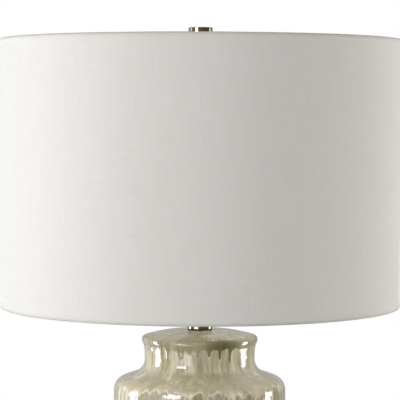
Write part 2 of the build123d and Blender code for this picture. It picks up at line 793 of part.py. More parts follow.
def rolled_edge(rim_z, inward):
    """Linen folded over a rim of the shade; inward is -1 at the top rim and +1 at the bottom."""
    fold = rim_z + inward * EDGE_T
    outer_end = rim_z + inward * EDGE_H
    inner_end = rim_z + inward * (EDGE_H + 1.0)
    with BuildPart() as edge:
        with BuildSketch(Plane.XZ):
            with BuildLine():
                outside = FilletPolyline(
                    (SHADE_R, outer_end),
                    (SHADE_R, rim_z),
                    (edge_in_r - EDGE_T, rim_z),
                    (edge_in_r - EDGE_T, inner_end),
                    radius=2 * EDGE_T,
                )
                Polyline(
                    outside @ 1,
                    (edge_in_r, inner_end),
                    (edge_in_r, fold),
                    (fabric_r, fold),
                    (fabric_r, outer_end),
                    outside @ 0,
                )
            make_face()
        revolve(axis=Axis.Z)
    return edge


top_edge = rolled_edge(SHADE_TOP, -1)
finish(top_edge, "top_edge")
bottom_edge = rolled_edge(SHADE_BOTTOM, 1)
finish(bottom_edge, "bottom_edge")

# ---------------------------------------------------------------- finial

finial_base = HUB_Z + HUB_T + RUN
drum_base = LAMP_H - FINIAL_DRUM_H
with BuildPart() as finial:
    with BuildSketch(Plane.XZ):
        with BuildLine():
            profile = FilletPolyline(
                (0, finial_base),
                (FINIAL_WAIST_R, finial_base),
                (FINIAL_WAIST_R, drum_base - 3.5),
                (FINIAL_R, drum_base),
                (FINIAL_R, LAMP_H),
                (0, LAMP_H),
                radius=[0.5, 2.0, 1.0, 0.8],
            )
            Line(profile @ 1, profile @ 0)
        make_face()
    revolve(axis=Axis.Z)
    with BuildSketch(Plane.XY.offset(finial_base)):
        Circle(STUD_R + RUN)
    extrude(amount=STUD_TOP + 1.0 - finial_base, mode=Mode.SUBTRACT)
finish(finial, "finial")
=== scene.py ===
"""Ginger jar table lamp: the looks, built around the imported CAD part.

Metres, +Z up, -Y is the front.  Every piece stands where the CAD part has it.
"""

import math
import random

import bmesh
import bpy
from bpy.props import FloatProperty, FloatVectorProperty, IntProperty, PointerProperty
from mathutils import Matrix, Vector


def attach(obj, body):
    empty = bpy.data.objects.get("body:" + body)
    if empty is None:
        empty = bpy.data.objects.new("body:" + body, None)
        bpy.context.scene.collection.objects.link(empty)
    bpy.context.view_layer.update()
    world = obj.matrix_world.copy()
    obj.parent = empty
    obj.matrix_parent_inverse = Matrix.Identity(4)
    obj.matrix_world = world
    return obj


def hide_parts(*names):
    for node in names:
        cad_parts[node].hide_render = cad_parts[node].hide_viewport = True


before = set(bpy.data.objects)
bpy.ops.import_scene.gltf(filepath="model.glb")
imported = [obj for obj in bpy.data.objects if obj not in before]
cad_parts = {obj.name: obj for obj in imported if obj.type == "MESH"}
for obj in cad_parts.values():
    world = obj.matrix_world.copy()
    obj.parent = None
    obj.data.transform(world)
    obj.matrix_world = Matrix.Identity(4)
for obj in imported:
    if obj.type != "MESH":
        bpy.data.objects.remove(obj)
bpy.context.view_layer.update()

bl_info = {
    "name": "Ginger Jar Lamp",
    "version": (1, 0, 0),
    "blender": (4, 5, 0),
    "location": "3D View > Sidebar > Jar Lamp",
    "description": "Dresses a ginger jar lamp in glaze, linen and nickel",
    "category": "Object",
}

MM = 0.001
TAU = 2 * math.pi
FRONT = -math.pi / 2  # the angle of -Y about the lamp's axis
BACK = math.pi / 2

# ---- sizes that the CAD part has, in mm

JAR_BASE = 20.0
JAR_TOP = 377.4
JAR_SHELL = 6.0
JAR_FOOT_R = 65.0
JAR_FOOT_ROUND = 3.0
WAIST = (80.0, 95.0)
WAIST_ROUND = 950.0
BELLY = (87.6, 215.0)
BELLY_ROUND = 1700.0
WALL_R = 87.6
SHOULDER_SLOPE = math.radians(19.5)
SHOULDER_ROUND = 14.0
THROAT_R = 56.1
THROAT_ROUND = 15.5
THROAT_DROP = 29.7
NECKING_ROUND = 10.0  # the hollow bend below the lip
OVERHANG_ROUND = 6.0  # the lip's underside
OVERHANG_TURN = math.radians(30)
LIP_R = 58.8
LIP_DROP = 10.1
LIP_ROUND = 4.0
DOME_LAND_R = 14.0
PIPE_HOLE_R = 6.1

SHADE_R = 203.2
SHADE_BOTTOM = 401.5
SHADE_TOP = 672.2
HEM_H = 5.0
CLOTH_T = 0.4
FABRIC_R = 202.8
LINING_R = 202.3
HEM_INNER_R = 198.5
SEAM_W = 12.0

FELT_R = 74.0
FELT_T = 2.0

# ---- sizes of the looks alone, in mm where no comment says otherwise

STREAK_R = 66.0  # the radius at which the glaze's streaks are as wide as they are drawn
POOL_REACH = 5.6  # the glaze's pool, below the widest line of the lip
WALL_REACH = 61.0  # the second front, along the glaze from the same line
GLAZE_END = 25.0  # the height at which the glaze has run out
GLAZE_FADE = 1.2  # the height over which it thins out
GLAZE_SWAY = 6.0  # how far its end wanders up and down
FRONTS = (285.0, 372.0)  # the heights between which the glaze has its fronts and drips
WELD = 0.002  # points closer than this become one
RIM_ROLL = 2.0  # the rounding of the linen over the shade's rims
PAINTED_SHADE_REACH = 4.5  # how far the painted shade on the linen reaches from those rims
SOFT_LAP = 0.012  # the width of the soft end of the linen's lap, in radians
CRISP_LAP = 0.0008  # the width of its crisp end, in radians
FLOOR_R = 2200.0
FLOOR_DROP = 0.2  # below the lamp's underside

# ---- colours besides those in the settings

CLAY = (0.55, 0.46, 0.36)
COOL_RUN = (0.46, 0.41, 0.33)
DARK_STRAND = (0.22, 0.205, 0.14)
# The linen's own colour is multiplied by these: the two tones of its threads, and painted shade along the
# shade's rims.
THREAD_LIGHT = (1.035, 1.035, 1.035)
THREAD_DARK = (0.925, 0.92, 0.90)
PAINTED_SHADE_TINT = (0.54, 0.51, 0.43)


# ---- settings


class GlazeSettings(bpy.types.PropertyGroup):
    """Colours and thicknesses of the running glaze."""

    cream: FloatVectorProperty(
        name="Cream", description="Where the glaze has broken thin over the clay",
        subtype="COLOR", default=(0.90, 0.85, 0.65),
    )
    greige: FloatVectorProperty(
        name="Greige", description="The glaze at its usual thickness",
        subtype="COLOR", default=(0.63, 0.58, 0.40),
    )
    olive: FloatVectorProperty(
        name="Olive", description="Where the glaze has run thick",
        subtype="COLOR", default=(0.36, 0.335, 0.18),
    )
    rose: FloatVectorProperty(
        name="Rose", description="The warm blush between the runs",
        subtype="COLOR", default=(0.64, 0.555, 0.45),
    )
    pool: FloatVectorProperty(
        name="Pool", description="The deep green where the glaze hangs below the lip",
        subtype="COLOR", default=(0.10, 0.099, 0.017),
    )
    run_relief: FloatProperty(
        name="Run relief", description="How far a thick run of glaze stands proud",
        subtype="DISTANCE", unit="LENGTH", default=0.35 * MM, min=0.0,
    )
    segments: IntProperty(
        name="Segments", description="Faces round the jar",
        default=384, min=48, max=388,
    )


class ClothSettings(bpy.types.PropertyGroup):
    """The linen of the shade."""

    linen: FloatVectorProperty(
        name="Linen", description="Colour of the threads",
        subtype="COLOR", default=(0.80, 0.792, 0.772),
    )
    # Painted shade: how far the linen is darkened towards the rolled rims, where shade falls on the roll.
    hem_painted_shade: FloatProperty(
        name="Hem painted shade", description="How dark the painted shade towards the rolled edges is",
        subtype="FACTOR", default=0.43, min=0.0, max=1.0,
    )
    thread_pitch: FloatProperty(
        name="Thread pitch", description="Distance from one thread to the next",
        subtype="DISTANCE", unit="LENGTH", default=0.8 * MM, min=0.2 * MM,
    )
    segments: IntProperty(
        name="Segments", description="Faces round the shade",
        default=360, min=48, max=720,
    )


class MetalSettings(bpy.types.PropertyGroup):
    """The metal that shows."""

    nickel: FloatVectorProperty(
        name="Nickel", description="Colour of the warm nickel plating",
        subtype="COLOR", default=(0.55, 0.465, 0.36),
    )
    polish: FloatProperty(
        name="Polish", description="Roughness of the plating",
        subtype="FACTOR", default=0.11, min=0.02, max=1.0,
    )


class StageSettings(bpy.types.PropertyGroup):
    """Camera, lamps and the room's light."""

    camera_distance: FloatProperty(
        name="Camera distance", description="From the lamp's axis",
        subtype="DISTANCE", unit="LENGTH", default=2.0,
    )
    camera_side: FloatProperty(
        name="Camera side", description="To the right of the lamp's axis",
        subtype="DISTANCE", unit="LENGTH", default=-0.0001,
    )
    camera_height: FloatProperty(
        name="Camera height", description="Above the floor",
        subtype="DISTANCE", unit="LENGTH", default=0.5975,
    )
    camera_pitch: FloatProperty(
        name="Camera pitch", description="How far the camera looks down",
        subtype="ANGLE", unit="ROTATION", default=0.0441,
    )
    camera_roll: FloatProperty(
        name="Camera roll", description="How far the camera leans to its left",
        subtype="ANGLE", unit="ROTATION", default=0.0027,
    )
    camera_lens: FloatProperty(
        name="Lens", description="Focal length, in millimetres on a 36 mm sensor",
        default=176.9,
    )
    side_light: FloatProperty(
        name="Side lamps", description="Power of each of the lamps at the two sides",
        subtype="POWER", unit="POWER", default=13.0,
    )
    window_light: FloatProperty(
        name="Window lamp", description="Power of the broad lamp at the front left",
        subtype="POWER", unit="POWER", default=17.2,
    )
    window_glint: FloatProperty(
        name="Window glint", description="Brightness of the window's upper part in reflections",
        subtype="POWER", unit="POWER", default=25.0,
    )
    shade_glow: FloatProperty(
        name="Shade glow", description="Power of the daylight that comes through the shade",
        subtype="POWER", unit="POWER", default=0.22,
    )
    fill: FloatVectorProperty(
        name="Fill", description="Light from the room",
        subtype="COLOR", default=(0.402, 0.394, 0.382),
    )


# ---- finishes


class Nodes:
    """A node tree under construction."""

    def __init__(self, tree):
        self.tree = tree

    def node(self, kind, inputs=(), **settings):
        """Adds a node; inputs maps its sockets to values or to other nodes' outputs."""
        made = self.tree.nodes.new(kind)
        for key, value in settings.items():
            setattr(made, key, value)
        for key, value in dict(inputs).items():
            self.feed(made.inputs[key], value)
        return made

    def feed(self, socket, value):
        if isinstance(value, bpy.types.NodeSocket):
            self.tree.links.new(value, socket)
        elif value is not None:
            socket.default_value = value

    def out(self, kind, inputs=(), **settings):
        """Adds a node for the first of its outputs."""
        return self.node(kind, inputs, **settings).outputs[0]

    def math(self, operation, *values):
        return self.out("ShaderNodeMath", enumerate(values), operation=operation)

    def plus(self, a, b):
        return self.math("ADD", a, b)

    def less(self, a, b):
        return self.math("SUBTRACT", a, b)

    def times(self, a, b):
        return self.math("MULTIPLY", a, b)

    def span(self, value, low, high, to_low=0.0, to_high=1.0, kind="SMOOTHSTEP"):
        """Maps low..high to to_low..to_high, smoothly unless kind says otherwise."""
        inputs = enumerate((value, low, high, to_low, to_high))
        return self.out("ShaderNodeMapRange", inputs, interpolation_type=kind)

    def mix(self, factor, a, b):
        """Mixes two colours."""
        inputs = {0: factor, 6: rgba(a), 7: rgba(b)}
        return self.node("ShaderNodeMix", inputs, data_type="RGBA").outputs[2]

    def either(self, factor, a, b):
        """Mixes two shaders."""
        return self.out("ShaderNodeMixShader", enumerate((factor, a, b)))

    def noise(self, vector, scale, *values):
        """Noise; values are its detail, roughness and distortion, as far as they are given."""
        names = ("Vector", "Scale", "Detail", "Roughness", "Distortion")
        return self.out("ShaderNodeTexNoise", zip(names, (vector, scale, *values)))

    def place(self):
        """Where the point is on the piece."""
        return self.node("ShaderNodeTexCoord").outputs["Object"]

    def parts(self, vector):
        return self.node("ShaderNodeSeparateXYZ", {0: vector}).outputs

    def join(self, x, y, z):
        return self.out("ShaderNodeCombineXYZ", enumerate((x, y, z)))

    def from_axis(self, x, y):
        """The distance from the lamp's axis."""
        return self.math("SQRT", self.plus(self.times(x, x), self.times(y, y)))

    def value_of(self, attribute):
        return self.node("ShaderNodeAttribute", attribute_name=attribute).outputs["Fac"]

    def bump(self, height, strength, distance, under=None):
        inputs = {"Strength": strength, "Distance": distance, "Height": height, "Normal": under}
        return self.out("ShaderNodeBump", inputs)


class Finish(Nodes):
    """A material under construction: a Principled shader and the nodes that feed it."""

    def __init__(self, name, **values):
        self.material = bpy.data.materials.new(name)
        self.material.use_nodes = True
        super().__init__(self.material.node_tree)
        self.shader = self.tree.nodes["Principled BSDF"]
        # Values that are the same all over stand on the shader's own sockets.
        self.to_shader(**values)

    def to_shader(self, **values):
        for key, value in values.items():
            self.feed(self.shader.inputs[key.replace("_", " ")], value)


def rgba(colour):
    """A colour with its alpha; another node's output stays as it is."""
    return colour if isinstance(colour, bpy.types.NodeSocket) else (*colour, 1.0)


def tinted(colour, tint):
    """A colour multiplied by another, up to full strength."""
    return tuple(min(1.0, c * t) for c, t in zip(colour, tint))


def glaze_finish(settings):
    """Running reactive glaze, streaked down the jar, with pools and drips."""
    glaze = Finish("Drip Glaze", IOR=1.5, Coat_Weight=1.0, Coat_IOR=1.6, Coat_Roughness=0.03)
    place = glaze.place()
    x, y, z = glaze.parts(place)
    radius = glaze.from_axis(x, y)
    flow = glaze.value_of("flow")
    # Once round the jar at a steady radius, so that streaks keep their width and have no seam.
    round_x, round_y = (glaze.times(glaze.math("DIVIDE", side, radius), STREAK_R * MM) for side in (x, y))

    def drawn_out(stretch, *values):
        """Noise drawn out along the flow, the more so the smaller stretch is."""
        return glaze.noise(glaze.join(round_x, round_y, glaze.times(flow, stretch)), *values)

    wander = drawn_out(0.5, 60.0, 2.0)
    fine = drawn_out(0.10, 270.0, 3.0, 0.6)
    broad = drawn_out(0.12, 125.0, 2.0, 0.55)
    blush = drawn_out(0.45, 55.0, 3.0, 0.6)
    mottle = drawn_out(0.55, 85.0, 4.0, 0.6, 0.25)
    fleck = drawn_out(0.6, 300.0, 3.0, 0.6)
    strands = drawn_out(0.06, 430.0, 2.0, 0.55)

    # Streaks show where the jar is steep; on the dome and the shoulder they break into mottling.
    steep = glaze.value_of("steep")
    level = glaze.less(1.0, steep)
    streaks = glaze.plus(glaze.times(fine, 0.55), glaze.times(broad, 0.45))
    patches = glaze.plus(glaze.times(mottle, 0.7), glaze.times(fleck, 0.3))
    body = glaze.plus(glaze.times(streaks, steep), glaze.times(glaze.less(patches, 0.03), level))
    front = glaze.value_of("front")
    under = glaze.span(front, -0.2, 1.6)
    # Where the glaze is thicker, it is olive, but less so where it lies level and below that front.
    thicker = glaze.span(body, 0.50, 0.39)
    thicker = glaze.times(thicker, glaze.math("MULTIPLY_ADD", level, -0.55, 1.0))
    thicker = glaze.times(thicker, glaze.math("MULTIPLY_ADD", under, -0.6, 1.0))

    # Below the second front the runs are cooler and stronger.
    bright = glaze.times(steep, glaze.less(1.0, under))
    deep = glaze.mix(glaze.span(broad, 0.38, 0.56), settings.olive, COOL_RUN)
    deep = glaze.mix(glaze.span(strands, 0.53, 0.68), deep, settings.cream)
    deep = glaze.mix(glaze.span(strands, 0.48, 0.32), deep, DARK_STRAND)
    # A pale line, stronger here and weaker there, follows that front.
    outline = glaze.times(glaze.span(front, -3.4, -0.6), glaze.span(front, 1.6, 0.2))
    outline = glaze.times(outline, glaze.span(wander, 0.38, 0.58, 0.1, 0.6))

    # The thick pool that hangs below the lip, with its drips.
    pool, depth, hang = (glaze.value_of(name) for name in ("pool", "depth", "hang"))
    greener = glaze.times(depth, glaze.span(fine, 0.25, 0.65, 1.0, 0.75))
    pooled = glaze.mix(greener, settings.olive, settings.pool)
    thick = glaze.times(glaze.span(pool, -0.35, 0.9), hang)
    thick = glaze.times(thick, glaze.span(depth, 0.0, 0.6, 0.45, 0.95))

    # Bare clay below the glaze line.
    line = glaze.plus(z, glaze.times(glaze.less(blush, 0.5), GLAZE_SWAY * MM))
    bare = glaze.span(line, (GLAZE_END + GLAZE_FADE) * MM, GLAZE_END * MM)

    base = settings.greige
    for share, colour in (
        (glaze.span(blush, 0.42, 0.66), settings.rose),
        (glaze.times(level, 0.15), settings.olive),
        (thicker, settings.olive),
        (glaze.span(body, 0.52, 0.62), settings.cream),
        (glaze.times(bright, 0.14), settings.cream),
        (glaze.times(under, 0.75), deep),
        (outline, settings.cream),
        (thick, pooled),
        (bare, CLAY),
    ):
        base = glaze.mix(share, base, colour)

    normal = None
    for height, strength, distance in (
        (glaze.noise(place, 900.0, 2.0), 0.05, 0.0002),
        (streaks, 0.10, 0.0004),
        (drawn_out(0.35, 48.0, 2.0), 0.3, 0.0016),
        (strands, glaze.times(under, 0.25), 0.0008),
    ):
        normal = glaze.bump(height, strength, distance, normal)
    glaze.to_shader(
        Base_Color=base,
        Roughness=glaze.plus(glaze.span(fleck, 0.3, 0.7, 0.035, 0.09), glaze.times(bare, 0.5)),
        Normal=normal,
        Coat_Normal=normal,
    )
    return glaze.material


def linen_finish(settings, name, rim_painted_shade=0.0):
    """Plain-woven linen, by the cloth's own UV map in metres; painted shade darkens it towards a rim."""
    linen = Finish(name, IOR=1.45, Specular_IOR_Level=0.2, Sheen_Weight=0.12, Sheen_Roughness=0.6)
    u, v, _ = linen.parts(linen.out("ShaderNodeUVMap", uv_map="Cloth"))
    turn = math.pi / settings.thread_pitch

    def uneven(along_u, along_v, scale):
        """Thickness that comes and goes along a thread."""
        spot = linen.join(linen.times(u, along_u), linen.times(v, along_v), 0.0)
        return linen.noise(spot, scale, 2.0, 0.6)

    warp_slub = uneven(1.0, 0.03, 900.0)
    weft_slub = uneven(0.03, 1.0, 900.0)
    cloud = uneven(1.0, 1.0, 30.0)
    shift = linen.times(linen.less(cloud, 0.5), 0.9)
    warp, weft = (linen.math("SINE", linen.math("MULTIPLY_ADD", way, turn, shift)) for way in (u, v))
    over = linen.math("MULTIPLY_ADD", linen.times(warp, weft), 0.5, 0.5)
    slub = linen.plus(warp_slub, weft_slub)
    shade = linen.plus(linen.times(over, 0.35), linen.times(slub, 0.5))
    light = tinted(settings.linen, THREAD_LIGHT)
    dark = tinted(settings.linen, THREAD_DARK)
    colour = linen.mix(linen.span(shade, 0.25, 1.1), dark, light)
    # Painted shade: the linen turns darker within a few millimetres of either rim of the shade.
    if rim_painted_shade:
        _, _, z = linen.parts(linen.place())
        up = linen.less(z, SHADE_BOTTOM * MM)
        down = linen.less(SHADE_TOP * MM, z)
        rim_shade_share = linen.span(linen.math("MINIMUM", up, down), PAINTED_SHADE_REACH * MM, 0.0, 0.0, rim_painted_shade)
        colour = linen.mix(rim_shade_share, colour, tinted(dark, PAINTED_SHADE_TINT))
    linen.to_shader(
        Base_Color=colour,
        Roughness=linen.span(slub, 0.6, 1.4, 0.95, 0.8),
        Normal=linen.bump(linen.math("MULTIPLY_ADD", slub, 0.6, over), 0.26, 0.0002),
    )
    return linen.material


def turned_metal(name, colour, polish, wear=0.06):
    """Plated metal with the faint lines that turning and polishing leave round it."""
    metal = Finish(name, Metallic=1.0)
    place = metal.place()
    x, y, z = metal.parts(place)
    lines = metal.noise(metal.join(metal.from_axis(x, y), 0.0, z), 2600.0, 3.0, 0.7)
    smudge = metal.noise(place, 70.0, 3.0, 0.6)
    dull = tuple(c * (1.0 - 2.5 * wear) for c in colour)
    metal.to_shader(
        Base_Color=metal.mix(metal.span(smudge, 0.35, 0.7), colour, dull),
        Roughness=metal.plus(
            metal.span(lines, 0.3, 0.7, polish * 0.8, polish * 1.2),
            metal.span(smudge, 0.45, 0.75, 0.0, wear),
        ),
        Normal=metal.bump(lines, 0.05, 0.0001),
    )
    return metal.material


def drawn_wire(name, colour, polish):
    """Bent wire: fine drawing marks and a few scuffs."""
    wire = Finish(name, Metallic=1.0)
    place = wire.place()
    marks = wire.noise(place, 1500.0, 4.0, 0.7, 0.4)
    scuff = wire.noise(place, 160.0, 3.0, 0.7)
    wire.to_shader(
        Base_Color=wire.mix(wire.span(scuff, 0.5, 0.75), colour, tuple(c * 0.8 for c in colour)),
        Roughness=wire.span(marks, 0.3, 0.7, polish * 0.8, polish * 1.3),
        Normal=wire.bump(marks, 0.06, 0.0001),
    )
    return wire.material


def grained(
    name, colour, other, scale, rough, strength=0.2, depth=0.0001,
    grain=(3.0, 0.6), cloud_scale=None, tones=(0.7, 1.3), **values
):
    """A plain material with a fine grain: moulded plastic, rubber, card, enamel, board or felt."""
    plain = Finish(name, **values)
    place = plain.place()
    grain = plain.noise(place, scale, *grain)
    cloud = plain.noise(place, cloud_scale or scale * 0.06, 3.0, 0.6)
    plain.to_shader(
        Base_Color=plain.mix(plain.span(plain.plus(grain, cloud), *tones), colour, other),
        Roughness=plain.span(grain, 0.3, 0.7, *rough),
        Normal=plain.bump(grain, strength, depth),
    )
    return plain.material


# ---- outlines, in mm


def rounded(corners, radii, step):
    """A polyline with its inner corners rounded, as points about step mm apart on the arcs."""
    points = [Vector(corners[0])]
    for before, corner, after, radius in zip(corners, corners[1:], corners[2:], radii):
        here = Vector(corner)
        way_in = (here - Vector(before)).normalized()
        way_out = (Vector(after) - here).normalized()
        turn = way_in.angle_signed(way_out)
        start = here - way_in * radius * math.tan(abs(turn) / 2)
        points += [start, *arc_on(start, way_in, radius, -turn, step)]
    points.append(Vector(corners[-1]))
    return points


def arc_on(start, heading, radius, turn, step):
    """Points of an arc that leaves start along heading and turns left by turn radians, or right."""
    side = Vector((-heading.y, heading.x)) * math.copysign(1, turn)
    centre = start + side * radius
    count = max(2, math.ceil(radius * abs(turn) / step))
    return [centre + Matrix.Rotation(turn * i / count, 2) @ (start - centre) for i in range(1, count + 1)]


def jar_outside():
    """The jar's outside, from its base up to the dome, as (radius, height)."""
    lip_z = JAR_TOP - LIP_DROP
    throat_z = JAR_TOP - THROAT_DROP
    throat_turn = math.pi / 2 - SHOULDER_SLOPE
    reach = THROAT_ROUND * math.tan(throat_turn / 2)
    corner_z = throat_z - reach
    shoulder_z = corner_z - (WALL_R - THROAT_R) * math.tan(SHOULDER_SLOPE)
    slope_end = (THROAT_R + reach * math.cos(SHOULDER_SLOPE), corner_z - reach * math.sin(SHOULDER_SLOPE))
    points = rounded(
        [(PIPE_HOLE_R, JAR_BASE), (JAR_FOOT_R, JAR_BASE), WAIST, BELLY, (WALL_R, shoulder_z), slope_end],
        [JAR_FOOT_ROUND, WAIST_ROUND, BELLY_ROUND, SHOULDER_ROUND],
        0.5,
    )
    # A long flare leads up to the hollow bend; its turn makes the arcs end at the lip.
    both = OVERHANG_ROUND + NECKING_ROUND
    flare_h = lip_z - throat_z - both * math.sin(OVERHANG_TURN)
    flare_w = LIP_R - THROAT_R - both * (1 - math.cos(OVERHANG_TURN))
    flare_over = (flare_h**2 + flare_w**2) / (2 * flare_w)
    flare_turn = math.atan2(flare_h, flare_over - flare_w)
    dome_w = LIP_R - LIP_ROUND - DOME_LAND_R
    dome_r = (dome_w**2 + LIP_DROP**2 - LIP_ROUND**2) / (2 * (LIP_DROP - LIP_ROUND))
    dome_turn = math.atan2(dome_w, dome_r - LIP_DROP)
    heading = Vector((-math.cos(SHOULDER_SLOPE), math.sin(SHOULDER_SLOPE)))
    for radius, turn, step in (
        (THROAT_ROUND, -throat_turn, 0.4),
        (flare_over + NECKING_ROUND, -flare_turn, 0.5),
        (NECKING_ROUND, flare_turn - OVERHANG_TURN, 0.4),
        (OVERHANG_ROUND, OVERHANG_TURN, 0.3),
        (LIP_ROUND, math.pi / 2 - dome_turn, 0.3),
        (dome_r, dome_turn, 0.5),
    ):
        points += arc_on(points[-1], heading, radius, turn, step)
        heading = Matrix.Rotation(turn, 2) @ heading
    points.append(Vector((PIPE_HOLE_R, JAR_TOP)))
    return points


def spaced(points, spacing):
    """The same line with points spacing(height) apart."""
    kept = [points[0]]
    gone = 0.0
    for before, here in zip(points, points[1:]):
        length = (here - before).length
        if length < 1e-9:
            continue
        at = 0.0
        while gone + (length - at) >= spacing(here.y):
            at += spacing(here.y) - gone
            gone = 0.0
            kept.append(before.lerp(here, at / length))
        gone += length - at
    if (kept[-1] - points[-1]).length <= 0.1:
        kept.pop()
    return kept + [points[-1]]


def lengths_along(line):
    """How far along a line each of its points is."""
    lengths = [0.0]
    for before, here in zip(line, line[1:]):
        lengths.append(lengths[-1] + (here - before).length)
    return lengths


def jar_outline():
    """The jar's whole section, outside and hollow, closed, with the flow of the glaze along it."""
    low, high = FRONTS
    outside = spaced(jar_outside(), lambda z: 5.0 if z <= low else 1.0 if z < high else 2.6)
    lengths = lengths_along(outside)
    flow = [lengths[-1] - length for length in lengths]
    roof = JAR_TOP - JAR_SHELL
    floor = JAR_BASE + 1.3 * JAR_SHELL
    inner = []
    for i in range(1, len(outside) - 1, 4):
        heading = (outside[i + 1] - outside[i - 1]).normalized()
        point = outside[i] + Vector((-heading.y, heading.x)) * JAR_SHELL
        clear = 2.0 if outside[i].x > JAR_FOOT_R - 4.0 else 250.0
        if floor + clear < point.y < JAR_TOP - LIP_DROP - 2.0:
            inner.append(point)
    hollow = [
        Vector((PIPE_HOLE_R, roof)),
        Vector((THROAT_R - JAR_SHELL - 1.0, roof - 1.5)),
        *reversed(inner),
        Vector((JAR_FOOT_R - JAR_SHELL, floor)),
        Vector((PIPE_HOLE_R, floor)),
        outside[0],
    ]
    return outside + hollow, flow + [flow[0]] * len(hollow)


# ---- turned pieces, by Geometry Nodes


def turned_piece_tree():
    """Turns an outline in the XZ plane about Z, and carries its flow along."""
    tree = bpy.data.node_groups.new("Turned Piece", "GeometryNodeTree")
    for label, kind, way in (
        ("Outline", "Geometry", "INPUT"),
        ("Outline Points", "Int", "INPUT"),
        ("Segments", "Int", "INPUT"),
        ("Finish", "Material", "INPUT"),
        ("Piece", "Geometry", "OUTPUT"),
    ):
        tree.interface.new_socket(label, in_out=way, socket_type="NodeSocket" + kind)
    made = Nodes(tree)
    given = made.node("NodeGroupInput").outputs
    count = given["Outline Points"]
    index = made.out("GeometryNodeInputIndex")
    step = made.math("MODULO", index, count)
    column = made.math("FLOOR", made.math("DIVIDE", made.plus(index, 0.5), count))
    angle = made.times(made.math("DIVIDE", column, given["Segments"]), TAU)

    def at_step(value, kind):
        """A value that the outline has at each of its points, in turn."""
        inputs = {"Geometry": given["Outline"], "Value": value, "Index": step}
        return made.out("GeometryNodeSampleIndex", inputs, data_type=kind, domain="POINT")

    flow = made.out("GeometryNodeInputNamedAttribute", {"Name": "flow"}, data_type="FLOAT")
    corner = at_step(made.out("GeometryNodeInputPosition"), "FLOAT_VECTOR")
    turned = made.out("ShaderNodeVectorRotate", {"Vector": corner, "Angle": angle}, rotation_type="Z_AXIS")
    inputs = {"Vertices X": made.plus(given["Segments"], 1.0), "Vertices Y": count}
    piece = made.node("GeometryNodeMeshGrid", inputs).outputs["Mesh"]
    piece = made.out("GeometryNodeSetPosition", {"Geometry": piece, "Position": turned})
    inputs = {"Geometry": piece, "Name": "flow", "Value": at_step(flow, "FLOAT")}
    piece = made.out("GeometryNodeStoreNamedAttribute", inputs, data_type="FLOAT", domain="POINT")
    for kind, inputs in (
        ("GeometryNodeMergeByDistance", {"Distance": WELD * MM}),
        ("GeometryNodeSetShadeSmooth", {}),
        ("GeometryNodeRealizeInstances", {}),
        ("GeometryNodeSetMaterial", {"Material": given["Finish"]}),
    ):
        piece = made.out(kind, {"Geometry": piece, **inputs})
    made.node("NodeGroupOutput", {"Piece": piece})
    return tree


def turned_piece(name, outline, flow, segments, material):
    """A smooth solid turned from an outline in mm, as a plain mesh."""
    tree = bpy.data.node_groups.get("Turned Piece") or turned_piece_tree()
    line = bpy.data.meshes.new(name + "_outline")
    corners = [(radius * MM, 0.0, height * MM) for radius, height in outline]
    line.from_pydata(corners, [(i, i + 1) for i in range(len(outline) - 1)], [])
    write_values(line, "flow", [f * MM for f in flow])
    source = add_object(name + "_source", line)
    turn = source.modifiers.new("Turned Piece", "NODES")
    turn.node_group = tree
    sockets = {s.name: s.identifier for s in tree.interface.items_tree if s.in_out == "INPUT"}
    turn[sockets["Outline Points"]] = len(outline)
    turn[sockets["Segments"]] = segments
    turn[sockets["Finish"]] = material
    graph = bpy.context.evaluated_depsgraph_get()
    mesh = bpy.data.meshes.new_from_object(source.evaluated_get(graph), depsgraph=graph)
    bpy.data.objects.remove(source)
    bpy.data.meshes.remove(line)
    return new_piece(name, mesh, material)


def add_object(name, data):
    made = bpy.data.objects.new(name, data)
    bpy.context.scene.collection.objects.link(made)
    return made


def new_piece(name, mesh, material):
    """An object for a finished mesh, with one material on all of it."""
    mesh.name = name
    mesh.materials.clear()
    mesh.materials.append(material)
    mesh.polygons.foreach_set("material_index", [0] * len(mesh.polygons))
    return add_object(name, mesh)


def dress(nodes, material):
    """Gives CAD nodes a finish."""
    for name in nodes:
        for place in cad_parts[name].material_slots:
            place.material = material


def write_values(mesh, name, values):
    mesh.attributes.new(name, "FLOAT", "POINT").data.foreach_set("value", values)


def read_values(mesh, name):
    values = [0.0] * len(mesh.vertices)
    mesh.attributes[name].data.foreach_get("value", values)
    return values


# ---- the glaze's runs


def eased(value, low, high):
    t = min(1.0, max(0.0, (value - low) / (high - low)))
    return t * t * (3 - 2 * t)


def turn_between(a, b):
    """The angle from b to a, between -pi and pi."""
    return (a - b + math.pi) % TAU - math.pi


def from_front(degrees):
    return FRONT + math.radians(degrees)


